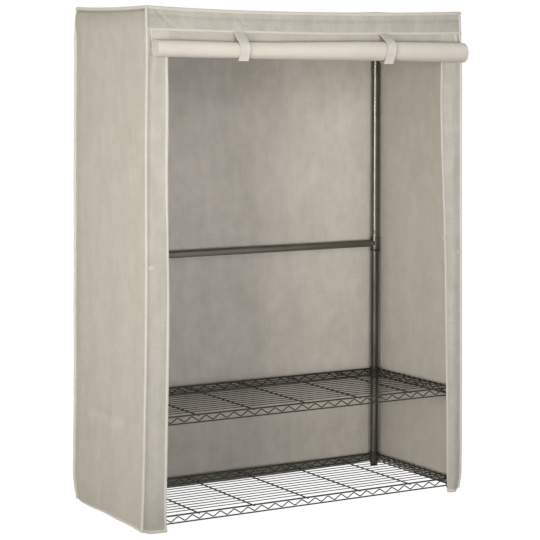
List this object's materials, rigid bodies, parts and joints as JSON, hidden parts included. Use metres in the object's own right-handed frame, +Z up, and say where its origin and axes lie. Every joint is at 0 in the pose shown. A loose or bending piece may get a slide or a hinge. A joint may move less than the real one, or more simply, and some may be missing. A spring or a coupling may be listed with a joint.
{
  "type": "covered garment rail",
  "caption": "Free-standing garment rail: a wire-shelf rack with a hanging rail and a rear brace, in a slip-over cloth cover whose front door is rolled up and tied.",
  "frame": {"origin": "on the floor, under the middle of the whole box, rolled door included", "axes": "+Z up; the open front with the rolled door faces -Y; +X to the right as seen from the front"},
  "size_m": [1.2218, 0.6012, 1.6735],
  "materials": {
    "gunmetal_tube": "satin gunmetal coat on round steel tube",
    "shelf_wire": "satin dark gunmetal coat on welded wire",
    "black_plastic": "moulded, matt",
    "cover_cloth": "taupe grey plain weave, matt",
    "door_reverse_cloth": "cream reverse side of the cover cloth, matt",
    "strap_cloth": "plain weave with bound edges, matt",
    "piping": "cream woven binding tape, matt"
  },
  "bodies": {
    "rack": {"lower_pole_front_left": "gunmetal_tube", "lower_pole_front_right": "gunmetal_tube", "lower_pole_rear_left": "gunmetal_tube", "lower_pole_rear_right": "gunmetal_tube", "upper_pole_front_left": "gunmetal_tube", "upper_pole_front_right": "gunmetal_tube", "upper_pole_rear_left": "gunmetal_tube", "upper_pole_rear_right": "gunmetal_tube", "foot_insert_front_left": "black_plastic", "foot_insert_front_right": "black_plastic", "foot_insert_rear_left": "black_plastic", "foot_insert_rear_right": "black_plastic", "pole_cap_front_left": "black_plastic", "pole_cap_front_right": "black_plastic", "pole_cap_rear_left": "black_plastic", "pole_cap_rear_right": "black_plastic", "shelf_bottom": "shelf_wire", "shelf_middle": "shelf_wire", "shelf_top": "shelf_wire", "sleeve_bottom_front_left": "black_plastic", "sleeve_bottom_front_right": "black_plastic", "sleeve_bottom_rear_left": "black_plastic", "sleeve_bottom_rear_right": "black_plastic", "sleeve_middle_front_left": "black_plastic", "sleeve_middle_front_right": "black_plastic", "sleeve_middle_rear_left": "black_plastic", "sleeve_middle_rear_right": "black_plastic", "sleeve_top_front_left": "black_plastic", "sleeve_top_front_right": "black_plastic", "sleeve_top_rear_left": "black_plastic", "sleeve_top_rear_right": "black_plastic", "brace_tee_left": "gunmetal_tube", "brace_tee_right": "gunmetal_tube", "tee_ring_left": "black_plastic", "tee_ring_right": "black_plastic", "brace_tube_left": "gunmetal_tube", "brace_tube_right": "gunmetal_tube", "brace_coupler": "gunmetal_tube", "hanging_rail": "gunmetal_tube", "rail_bracket_left": "gunmetal_tube", "rail_bracket_right": "gunmetal_tube"},
    "cover": {"cover_top": "cover_cloth", "cover_back": "cover_cloth", "cover_side_left": "cover_cloth", "cover_side_right": "cover_cloth", "front_strip_left": "cover_cloth", "front_strip_right": "cover_cloth", "valance": "cover_cloth", "cover_piping": "piping", "valance_piping": "piping", "door_apron": "cover_cloth", "tie_strap_left": "strap_cloth", "tie_strap_right": "strap_cloth", "under_strap_left": "strap_cloth", "under_strap_right": "strap_cloth"},
    "rolled_door": {"door_roll": "door_reverse_cloth"},
    "foot_front_left": {"levelling_foot_front_left": "black_plastic"},
    "foot_front_right": {"levelling_foot_front_right": "black_plastic"},
    "foot_rear_left": {"levelling_foot_rear_left": "black_plastic"},
    "foot_rear_right": {"levelling_foot_rear_right": "black_plastic"}
  },
  "joints": [
    {"name": "cover_lift", "type": "slide", "parent": "rack", "child": "cover", "axis": [0, 0, 1], "range_m": [0, 1.7]},
    {"name": "door_unroll", "type": "slide", "parent": "cover", "child": "rolled_door", "axis": [0, 0, -1], "range_m": [0, 1.455], "deforming": ["door_apron", "tie_strap_left", "tie_strap_right", "under_strap_left", "under_strap_right"]},
    {"name": "level_front_left", "type": "slide", "parent": "rack", "child": "foot_front_left", "axis": [0, 0, 1], "range_m": [-0.012, 0]},
    {"name": "level_front_right", "type": "slide", "parent": "rack", "child": "foot_front_right", "axis": [0, 0, 1], "range_m": [-0.012, 0]},
    {"name": "level_rear_left", "type": "slide", "parent": "rack", "child": "foot_rear_left", "axis": [0, 0, 1], "range_m": [-0.012, 0]},
    {"name": "level_rear_right", "type": "slide", "parent": "rack", "child": "foot_rear_right", "axis": [0, 0, 1], "range_m": [-0.012, 0]}
  ]
}
